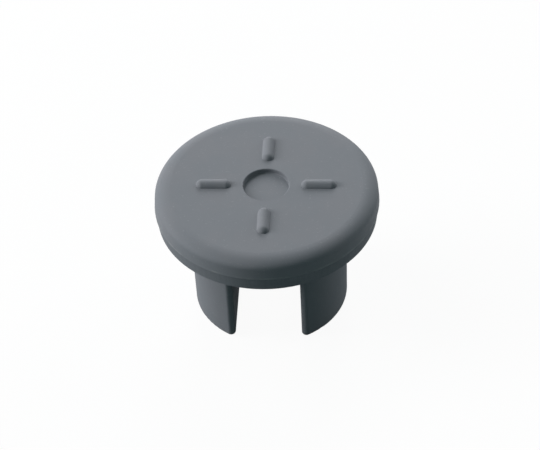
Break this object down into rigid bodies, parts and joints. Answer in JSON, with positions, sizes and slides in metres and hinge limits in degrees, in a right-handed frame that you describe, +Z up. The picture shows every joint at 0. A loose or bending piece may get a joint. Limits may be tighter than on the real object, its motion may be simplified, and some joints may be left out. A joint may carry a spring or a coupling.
{
  "type": "rubber stopper",
  "caption": "Moulded rubber vial stopper for freeze drying: a round flange with raised spacer ribs and a needle target, over a sealing plug split by a vent slot.",
  "frame": {"origin": "on the stopper's axis, level with the two leg ends it stands on", "axes": "+Z up along the axis towards the flange, X from leg to leg, Y along the vent slot"},
  "size_m": [0.019, 0.019, 0.0128],
  "materials": {
    "grey_rubber": "matte"
  },
  "bodies": {
    "root": {"stopper": "grey_rubber"}
  },
  "joints": []
}
